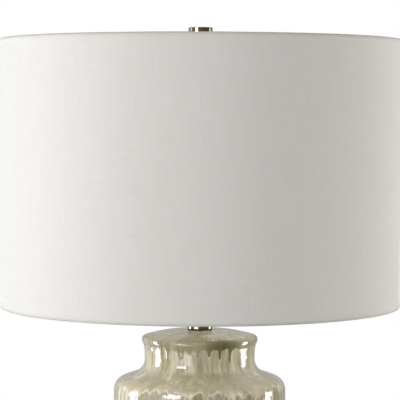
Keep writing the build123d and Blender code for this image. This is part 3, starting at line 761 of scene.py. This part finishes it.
class Front:
    """The lower edge of a layer of glaze: a wavy line round the jar, with drips hanging from it."""

    def __init__(self, seed, base, wave, radius, arches, drips, extra):
        chance = random.Random(seed)
        self.base, self.radius = base, radius
        self.arches = arches  # how many round the jar, and their rise
        self.waves = [
            (chance.uniform(0.5, 1.0) * wave / k**0.6, k * chance.choice((3, 4)), chance.uniform(0, TAU))
            for k in (1, 2, 3, 5)
        ]
        self.drips = [(from_front(at), long, wide) for at, long, wide in drips]
        for i in range(extra):
            angle = TAU * (i + chance.uniform(0.1, 0.9)) / extra
            long = chance.uniform(1.5, 7.0) if chance.random() < 0.6 else chance.uniform(7.0, 18.0)
            wide = chance.uniform(0.9, 2.2)
            if all(abs(turn_between(angle, at)) * radius > 6.0 for at, _, _ in self.drips):
                self.drips.append((angle, long, wide))

    def edge(self, angle):
        """How far down the flow the layer reaches at an angle."""
        edge = self.base + sum(h * math.sin(k * angle + p) for h, k, p in self.waves)
        count, rise = self.arches
        sway = 0.9 * math.sin(3 * angle + 0.4) + 0.6 * math.sin(7 * angle + 2.0)
        edge += rise * (1.0 - abs(math.cos(count * angle / 2 + sway)))
        reach = edge
        for at, long, wide in self.drips:
            off = abs(turn_between(angle, at)) * self.radius
            if off < wide:
                reach = max(reach, edge + long + math.sqrt(wide**2 - off**2) - wide)
            elif off < 3.2 * wide:  # the web between a drip and the edge beside it
                web = 1.0 - (off - wide) / (2.2 * wide)
                reach = max(reach, edge + 0.45 * min(long, 8.0) * web * web)
        return reach


# Angle from the front in degrees, length and half width in mm of each drip that hangs there.
POOL_DRIPS = [
    (-34.0, 12.0, 1.7),
    (-19.5, 8.0, 1.9),
    (-2.0, 9.0, 1.8),
    (9.7, 8.0, 1.5),
    (20.8, 10.8, 1.2),
    (32.4, 14.0, 1.2),
]
# Angle from the front, spread and strength of each stretch where the pool is deep and green.
POOL_DEPTHS = [
    (24.0, 18.0, 1.0),
    (-12.0, 12.0, 0.25),
    (-42.0, 9.0, 0.3),
    (110.0, 26.0, 0.8),
    (200.0, 30.0, 0.9),
    (-100.0, 22.0, 0.7),
]


def run_glaze(piece, relief):
    """Writes where the glaze is thick on the jar, and lets its runs stand proud by relief metres."""
    mesh = piece.data
    lip_z = JAR_TOP - LIP_DROP
    flows = [metres / MM for metres in read_values(mesh, "flow")]
    lip_flow = min(
        flow
        for v, flow in zip(mesh.vertices, flows)
        if abs(v.co.z / MM - lip_z) < 1.0 and v.co.to_2d().length / MM > THROAT_R
    )
    pool_front = Front(
        seed=11, base=lip_flow + POOL_REACH, wave=0.8, radius=THROAT_R,
        arches=(36, 1.6), drips=POOL_DRIPS, extra=30,
    )
    wall_front = Front(
        seed=23, base=lip_flow + WALL_REACH, wave=1.8, radius=WALL_R,
        arches=(33, 6.5), drips=(), extra=30,
    )
    values = {name: [] for name in ("pool", "depth", "hang", "front", "steep")}
    moved = []
    edges = {}
    for vertex, flow in zip(mesh.vertices, flows):
        angle = math.atan2(vertex.co.y, vertex.co.x)
        key = round(angle, 5)
        if key not in edges:
            edges[key] = (pool_front.edge(angle), wall_front.edge(angle))
        pool_edge, wall_edge = edges[key]
        below_lip = eased(flow, lip_flow - 6.5, lip_flow - 1.5)
        in_pool = pool_edge - flow
        green = max(
            size * math.exp(-((math.degrees(turn_between(angle, from_front(at))) / width) ** 2))
            for at, width, size in POOL_DEPTHS
        )
        values["pool"].append(max(-5.0, min(5.0, in_pool)))
        values["depth"].append(green)
        values["hang"].append(below_lip)
        values["front"].append(max(-20.0, min(20.0, flow - wall_edge)))
        values["steep"].append(1.0 - eased(abs(vertex.normal.z), 0.35, 0.8))
        on_wall = eased(wall_edge - flow, -0.5, 1.5) * eased(flow, lip_flow + 40.0, lip_flow + 70.0)
        proud = below_lip * eased(in_pool, -0.4, 1.6) + 0.5 * on_wall
        moved.append(vertex.normal.copy() * relief * proud if flow < wall_edge + 3.0 else Vector())
    for vertex, shift in zip(mesh.vertices, moved):
        vertex.co += shift
    for name, measures in values.items():
        write_values(mesh, name, measures)
    mesh.update()


# ---- cloth


def cloth_sleeve(name, columns, rows, outer, material):
    """A closed thin sleeve of cloth on the lining; outer gives its radius at an angle and a height."""
    made = bmesh.new()
    weave = made.loops.layers.uv.new("Cloth")
    count = len(columns)

    def spot(radius, angle, z):
        return made.verts.new((radius * math.cos(angle) * MM, radius * math.sin(angle) * MM, z * MM))

    o = [[spot(outer(a, z), a, z) for z in rows] for a in columns]
    n = [[spot(LINING_R, a, z) for z in rows] for a in columns]
    round_at = [(a - columns[0]) * FABRIC_R * MM for a in columns] + [TAU * FABRIC_R * MM]

    def face(*corners):
        """corners are (skin, column, row); the column after the last is the first again."""
        made_face = made.faces.new([skin[i % count][k] for skin, i, k in corners])
        made_face.smooth = True
        for loop, (_, i, k) in zip(made_face.loops, corners):
            loop[weave].uv = (round_at[i], rows[k] * MM)

    end = len(rows) - 1
    for i in range(count):
        for k in range(end):
            face((o, i, k), (o, i + 1, k), (o, i + 1, k + 1), (o, i, k + 1))
            face((n, i, k + 1), (n, i + 1, k + 1), (n, i + 1, k), (n, i, k))
        face((n, i, 0), (n, i + 1, 0), (o, i + 1, 0), (o, i, 0))
        face((o, i, end), (o, i + 1, end), (n, i + 1, end), (n, i, end))
    mesh = bpy.data.meshes.new(name)
    made.to_mesh(mesh)
    made.free()
    return new_piece(name, mesh, material)


def turned_cloth_map(piece):
    """Gives a turned piece of cloth the map that its weave follows: round it and along the flow."""
    mesh = piece.data
    flow = read_values(mesh, "flow")
    weave = mesh.uv_layers.new(name="Cloth")
    for polygon in mesh.polygons:
        centre = math.atan2(polygon.center.y, polygon.center.x)
        for loop in polygon.loop_indices:
            index = mesh.loops[loop].vertex_index
            spot = mesh.vertices[index].co
            angle = centre + turn_between(math.atan2(spot.y, spot.x), centre)
            weave.data[loop].uv = (angle * FABRIC_R * MM, flow[index])


def hem_outline(rim_z, inward):
    """The section of the linen that is folded over a rim, as a closed line; inward is -1 at the top."""
    fold = rim_z + inward * CLOTH_T
    outer_end = rim_z + inward * HEM_H
    inner_end = rim_z + inward * (HEM_H + 1.0)
    inner_r = HEM_INNER_R - CLOTH_T
    edge = (SHADE_R - 0.05, outer_end - inward * 0.05)
    cover = rounded(
        [(FABRIC_R, outer_end), edge, (SHADE_R, rim_z), (inner_r, rim_z), (inner_r, inner_end)],
        [0.15, RIM_ROLL, 2 * CLOTH_T],
        0.2,
    )
    under = rounded(
        [(HEM_INNER_R, inner_end), (HEM_INNER_R, fold), (FABRIC_R, fold), (FABRIC_R, outer_end)],
        [CLOTH_T, RIM_ROLL - CLOTH_T],
        0.2,
    )
    line = cover + under
    flow = lengths_along(line)
    if inward < 0:  # keeps the section running the same way round, so that its faces point outwards
        return line, flow
    return line[::-1], flow[::-1]


# ---- operators


class JARLAMP_OT_jar(bpy.types.Operator):
    """Makes the glazed jar, with its pools and drips of glaze"""

    bl_idname = "jarlamp.jar"
    bl_label = "Glazed Jar"

    def execute(self, context):
        settings = context.scene.jarlamp_glaze
        outline, flow = jar_outline()
        jar = turned_piece("glazed_jar", outline, flow, settings.segments, glaze_finish(settings))
        run_glaze(jar, settings.run_relief)
        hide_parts("ceramic_jar")
        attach(jar, "base")
        return {"FINISHED"}


class JARLAMP_OT_shade_cloth(bpy.types.Operator):
    """Makes the linen of the shade, lapped at the back, and its rolled edges"""

    bl_idname = "jarlamp.shade_cloth"
    bl_label = "Shade Cloth"

    def execute(self, context):
        settings = context.scene.jarlamp_cloth
        linen = linen_finish(settings, "Shade Linen")
        # The hems' linen carries painted shade towards the shade's rims.
        shaded_hem_linen = linen_finish(settings, "Shaded Hem Linen", settings.hem_painted_shade)
        lap = SEAM_W / FABRIC_R
        lap_start = BACK - lap / 2
        low, high = SHADE_BOTTOM + HEM_H, SHADE_TOP - HEM_H

        def outer(angle, z):
            """The cloth laps over itself at the back: a crisp end on one side, a soft one on the other."""
            over = (angle - lap_start) % TAU
            if not low < z < high or over > lap + SOFT_LAP:
                return FABRIC_R
            return SHADE_R - CLOTH_T * eased(over, lap, lap + SOFT_LAP)

        close = [lap * i / 8 for i in range(1, 9)] + [lap + SOFT_LAP * i / 4 for i in range(1, 5)]
        start = lap + SOFT_LAP * 4 / 3
        rest = [start + (TAU - start) * i / settings.segments for i in range(settings.segments)]
        # A column close to each side of the crisp end keeps the cloth beside it flat.
        ending = [-2.2 * CRISP_LAP, -CRISP_LAP, 0.0, 1.2 * CRISP_LAP]
        columns = [lap_start + a for a in ending + close + rest]
        rows = [SHADE_BOTTOM + RIM_ROLL, low - 0.1, low + 0.1]
        rows += [low + 20.0 * i for i in range(1, 14)]
        rows += [high - 0.1, high + 0.1, SHADE_TOP - RIM_ROLL]
        linen_piece = cloth_sleeve("linen_cover", columns, rows, outer, linen)
        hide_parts("shade_fabric")
        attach(linen_piece, "shade")
        for name, node, rim_z, inward in (
            ("top_hem", "top_edge", SHADE_TOP, -1),
            ("bottom_hem", "bottom_edge", SHADE_BOTTOM, 1),
        ):
            outline, flow = hem_outline(rim_z, inward)
            hem = turned_piece(name, outline, flow, settings.segments, shaded_hem_linen)
            turned_cloth_map(hem)
            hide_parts(node)
            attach(hem, "shade")
        return {"FINISHED"}


class JARLAMP_OT_shade_frame(bpy.types.Operator):
    """Finishes the shade's lining, rings, arms and hub"""

    bl_idname = "jarlamp.shade_frame"
    bl_label = "Shade Frame"

    def execute(self, context):
        enamel = grained("White Enamel", (0.80, 0.79, 0.76), (0.74, 0.73, 0.70), 900.0, (0.28, 0.42), 0.15)
        styrene = grained(
            "Shade Lining", (0.86, 0.85, 0.82), (0.82, 0.81, 0.77), 500.0, (0.45, 0.6), 0.08,
            Specular_IOR_Level=0.4,
        )
        dress(["spider_hub", "spider_arms", "top_ring", "bottom_ring"], enamel)
        dress(["shade_lining"], styrene)
        return {"FINISHED"}


class JARLAMP_OT_metalwork(bpy.types.Operator):
    """Finishes the foot, neck, harp, finial and the steel that holds them"""

    bl_idname = "jarlamp.metalwork"
    bl_label = "Metalwork"

    def execute(self, context):
        settings = context.scene.jarlamp_metal
        nickel = turned_metal("Warm Nickel", tuple(settings.nickel), settings.polish)
        wire = drawn_wire("Nickel Wire", tuple(settings.nickel), settings.polish * 1.4)
        zinc = grained(
            "Zinc Steel", (0.60, 0.60, 0.58), (0.46, 0.46, 0.45), 1100.0, (0.32, 0.5), 0.15,
            Metallic=1.0,
        )
        dress(["foot", "neck_tube", "finial", "swivel_stud", "socket_cap", "socket_shell"], nickel)
        dress(["harp_bow", "harp_saddle", "ferrule_left", "ferrule_right"], wire)
        steel = ["threaded_pipe", "base_washer", "lock_washer", "base_nut", "saddle_nut", "cap_set_screw"]
        dress(steel, zinc)
        return {"FINISHED"}


class JARLAMP_OT_socket(bpy.types.Operator):
    """Finishes the inside of the socket, its switch and its knob"""

    bl_idname = "jarlamp.socket"
    bl_label = "Socket and Switch"

    def execute(self, context):
        brass = turned_metal("Bare Brass", (0.78, 0.57, 0.26), 0.28, 0.1)
        phenolic = grained("Phenolic", (0.022, 0.020, 0.019), (0.05, 0.045, 0.04), 700.0, (0.3, 0.45))
        card = grained("Insulating Card", (0.42, 0.30, 0.17), (0.30, 0.20, 0.11), 650.0, (0.8, 0.95))
        black = grained("Black Plastic", (0.018, 0.018, 0.018), (0.035, 0.034, 0.033), 800.0, (0.32, 0.5))
        rubber = grained("Gasket Rubber", (0.02, 0.02, 0.02), (0.05, 0.05, 0.048), 600.0, (0.75, 0.95))
        dress(["terminal_screws", "screw_shell", "centre_contact", "switch_shaft", "bulb_tip"], brass)
        dress(["switch_block", "bulb_insulator"], phenolic)
        dress(["insulating_sleeve"], card)
        dress(["switch_knob", "cord_bushing"], black)
        dress(["seat_gasket", "neck_gasket"], rubber)
        return {"FINISHED"}


class JARLAMP_OT_bulb(bpy.types.Operator):
    """Finishes the lamp bulb"""

    bl_idname = "jarlamp.bulb"
    bl_label = "Bulb"

    def execute(self, context):
        base = turned_metal("Bulb Base Metal", (0.62, 0.61, 0.58), 0.3, 0.08)
        collar = grained("Bulb Plastic", (0.78, 0.77, 0.75), (0.74, 0.73, 0.71), 500.0, (0.3, 0.42), 0.1)
        dome = grained("Bulb Diffuser", (0.84, 0.84, 0.82), (0.80, 0.80, 0.775), 300.0, (0.22, 0.34), 0.06)
        board = grained("Circuit Board", (0.62, 0.62, 0.58), (0.50, 0.50, 0.47), 400.0, (0.5, 0.65))
        dress(["bulb_screw_base"], base)
        dress(["bulb_collar"], collar)
        dress(["bulb_diffuser"], dome)
        dress(["led_board"], board)
        return {"FINISHED"}


class JARLAMP_OT_felt(bpy.types.Operator):
    """Makes the felt pad under the foot"""

    bl_idname = "jarlamp.felt"
    bl_label = "Felt Pad"

    def execute(self, context):
        outline = rounded([(0.0, 0.0), (FELT_R, 0.0), (FELT_R, FELT_T), (0.0, FELT_T)], [0.5, 0.3], 0.15)
        felt = grained(
            "Felt", (0.030, 0.029, 0.028), (0.085, 0.082, 0.078), 1400.0, (0.9, 1.0), 0.7, 0.0004,
            grain=(4.0, 0.75, 1.2), cloud_scale=220.0, tones=(0.75, 1.25),
            Sheen_Weight=0.35, Sheen_Roughness=0.5, Specular_IOR_Level=0.15,
        )
        pad = turned_piece("felt_disc", outline, [0.0] * len(outline), 240, felt)
        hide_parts("felt_pad")
        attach(pad, "base")
        return {"FINISHED"}


class JARLAMP_OT_stage(bpy.types.Operator):
    """Sets up the floor, the lamps, the white surroundings and the camera"""

    bl_idname = "jarlamp.stage"
    bl_label = "Stage"

    def execute(self, context):
        settings = context.scene.jarlamp_stage
        self.make_floor()
        self.make_surroundings(context.scene, settings)
        side, window, glint = settings.side_light, settings.window_light, settings.window_glint
        foot, fade, head = -0.45, 0.71, 1.03  # heights of the lamps at the sides, in metres
        cool, warm, white = (0.98, 1.0, 1.04), (1.03, 1.0, 0.97), (1.0, 1.0, 1.0)
        # Reflections find other lamps than the ones that light the piece: side strips that fade near
        # their upper ends, and a window that is brighter in its upper part.
        for name, azimuth, distance, low, high, width, power, colour, seen in (
            ("Left Lamp", -98.5, 1.6, foot, head, 0.44, side * 1.16, cool, "diffuse"),
            ("Left Strip", -97.8, 1.6, foot, fade, 0.38, side * 0.85, cool, "gloss"),
            ("Left Strip's End", -97.8, 1.6, fade, head, 0.38, side * 0.028, cool, "gloss"),
            ("Right Lamp", 102.0, 1.6, foot, head, 0.42, side * 1.27, warm, "diffuse"),
            ("Right Strip", 101.0, 1.6, foot, fade, 0.36, side * 0.86, warm, "gloss"),
            ("Right Strip's End", 101.0, 1.6, fade, head, 0.36, side * 0.038, (1.06, 1.0, 0.92), "gloss"),
            ("Window Lamp", -38.0, 2.0, 0.05, 1.75, 0.85, window, white, "diffuse"),
            ("Low Window", -33.2, 2.0, -0.27, 0.40, 1.36, glint * 0.24, (0.97, 0.94, 1.12), "gloss"),
            ("High Window", -37.6, 2.0, 0.55, 2.0, 0.72, glint, white, "gloss"),
        ):
            turn = math.radians(azimuth)
            z = (low + high) / 2
            spot = Vector((distance * math.sin(turn), -distance * math.cos(turn), z))
            lamp = self.make_lamp(name, spot, Vector((0.0, 0.0, z)), width, high - low, power)
            lamp.data.color = colour
            lamp.visible_diffuse = seen != "gloss"
            lamp.visible_glossy = seen != "diffuse"
        # Daylight that comes through the cloth and fills the shade.
        inside = Vector((0.0, 0.0, 0.645))
        glow = self.make_lamp("Shade Glow", inside, Vector(), 0.36, 0.36, settings.shade_glow)
        glow.data.shape = "DISK"
        glow.visible_glossy = False
        self.make_camera(context.scene, settings)
        return {"FINISHED"}

    def make_floor(self):
        made = bmesh.new()
        bmesh.ops.create_circle(made, cap_ends=True, segments=96, radius=FLOOR_R * MM)
        mesh = bpy.data.meshes.new("floor")
        made.to_mesh(mesh)
        made.free()
        mesh.transform(Matrix.Translation((0.0, 0.0, -FLOOR_DROP * MM)))
        pale = Finish("Pale Floor", Roughness=0.6, Specular_IOR_Level=0.2)
        place = pale.place()
        grain = pale.noise(place, 30.0)
        pale.to_shader(Base_Color=pale.mix(grain, (0.64, 0.64, 0.63), (0.67, 0.67, 0.66)))
        # Away from the lamp, what the camera sees of the floor turns to plain white.
        away = pale.node("ShaderNodeVectorMath", {0: place}, operation="LENGTH").outputs["Value"]
        camera_ray = pale.node("ShaderNodeLightPath").outputs["Is Camera Ray"]
        seen = pale.times(camera_ray, pale.span(away, 0.35, 1.5))
        both = pale.either(seen, pale.shader.outputs[0], pale.out("ShaderNodeEmission"))
        pale.feed(pale.tree.nodes["Material Output"].inputs["Surface"], both)
        mesh.materials.append(pale.material)
        floor = add_object("floor", mesh)
        floor.visible_glossy = False

    def make_surroundings(self, scene, settings):
        """White to the camera; reflections find it bright behind, dim in front and at the right."""
        world = scene.world or bpy.data.worlds.new("Room")
        scene.world = world
        world.use_nodes = True
        world.node_tree.nodes.clear()
        room = Nodes(world.node_tree)

        def background(colour, strength=1.0):
            return room.out("ShaderNodeBackground", {"Color": rgba(colour), "Strength": strength})

        path = room.node("ShaderNodeLightPath").outputs
        right, back, _ = room.parts(room.node("ShaderNodeTexCoord").outputs["Generated"])
        in_front, behind = (0.175, 0.15, 0.112), (0.45, 0.45, 0.425)
        mirrored = background(
            room.mix(room.span(back, -0.15, 0.75), in_front, behind),
            room.span(right, -0.6, 0.6, 1.25, 0.62, kind="LINEAR"),
        )
        mirror_ray = room.math("MAXIMUM", path["Is Glossy Ray"], path["Is Transmission Ray"])
        seen = room.either(mirror_ray, background(tuple(settings.fill)), mirrored)
        seen = room.either(path["Is Camera Ray"], seen, background((1.0, 1.0, 1.0)))
        room.node("ShaderNodeOutputWorld", {"Surface": seen})

    def make_lamp(self, name, spot, target, width, height, power):
        light = bpy.data.lights.new(name, "AREA")
        light.shape = "RECTANGLE"
        light.size = width
        light.size_y = height
        light.energy = power
        lamp = add_object(name, light)
        turn = (target - spot).to_track_quat("-Z", "Y").to_matrix().to_4x4()
        lamp.matrix_world = Matrix.Translation(spot) @ turn
        lamp.visible_camera = False
        return lamp

    def make_camera(self, scene, settings):
        data = bpy.data.cameras.new("Camera")
        data.sensor_width = 36.0
        data.lens = settings.camera_lens
        camera = add_object("Camera", data)
        tilt = Matrix.Rotation(math.pi / 2 - settings.camera_pitch, 4, "X")
        roll = Matrix.Rotation(settings.camera_roll, 4, "Z")
        spot = (settings.camera_side, -settings.camera_distance, settings.camera_height)
        camera.matrix_world = Matrix.Translation(spot) @ tilt @ roll
        scene.camera = camera
        scene.view_settings.view_transform = "Standard"


class JARLAMP_PT_panel(bpy.types.Panel):
    """The lamp's settings and its pieces"""

    bl_idname = "JARLAMP_PT_panel"
    bl_label = "Ginger Jar Lamp"
    bl_space_type = "VIEW_3D"
    bl_region_type = "UI"
    bl_category = "Jar Lamp"

    def draw(self, context):
        for group, makers in PANEL_ROWS:
            box = self.layout.box()
            if group:
                settings = getattr(context.scene, group)
                for name in settings.bl_rna.properties.keys():
                    if name not in ("rna_type", "name"):
                        box.prop(settings, name)
            for maker in makers:
                box.operator(maker.bl_idname)


SETTINGS = {
    "jarlamp_glaze": GlazeSettings,
    "jarlamp_cloth": ClothSettings,
    "jarlamp_metal": MetalSettings,
    "jarlamp_stage": StageSettings,
}
PANEL_ROWS = (
    ("jarlamp_glaze", (JARLAMP_OT_jar,)),
    ("jarlamp_cloth", (JARLAMP_OT_shade_cloth, JARLAMP_OT_shade_frame)),
    ("jarlamp_metal", (JARLAMP_OT_metalwork,)),
    (None, (JARLAMP_OT_socket, JARLAMP_OT_bulb, JARLAMP_OT_felt)),
    ("jarlamp_stage", (JARLAMP_OT_stage,)),
)
MAKERS = tuple(maker for _, makers in PANEL_ROWS for maker in makers)
CLASSES = (*SETTINGS.values(), *MAKERS, JARLAMP_PT_panel)


def register():
    for item in CLASSES:
        bpy.utils.register_class(item)
    for name, group in SETTINGS.items():
        setattr(bpy.types.Scene, name, PointerProperty(type=group))


def unregister():
    for name in SETTINGS:
        delattr(bpy.types.Scene, name)
    for item in reversed(CLASSES):
        bpy.utils.unregister_class(item)


def main():
    register()
    for maker in MAKERS:
        group, action = maker.bl_idname.split(".")
        getattr(getattr(bpy.ops, group), action)()


if __name__ == "__main__":
    main()
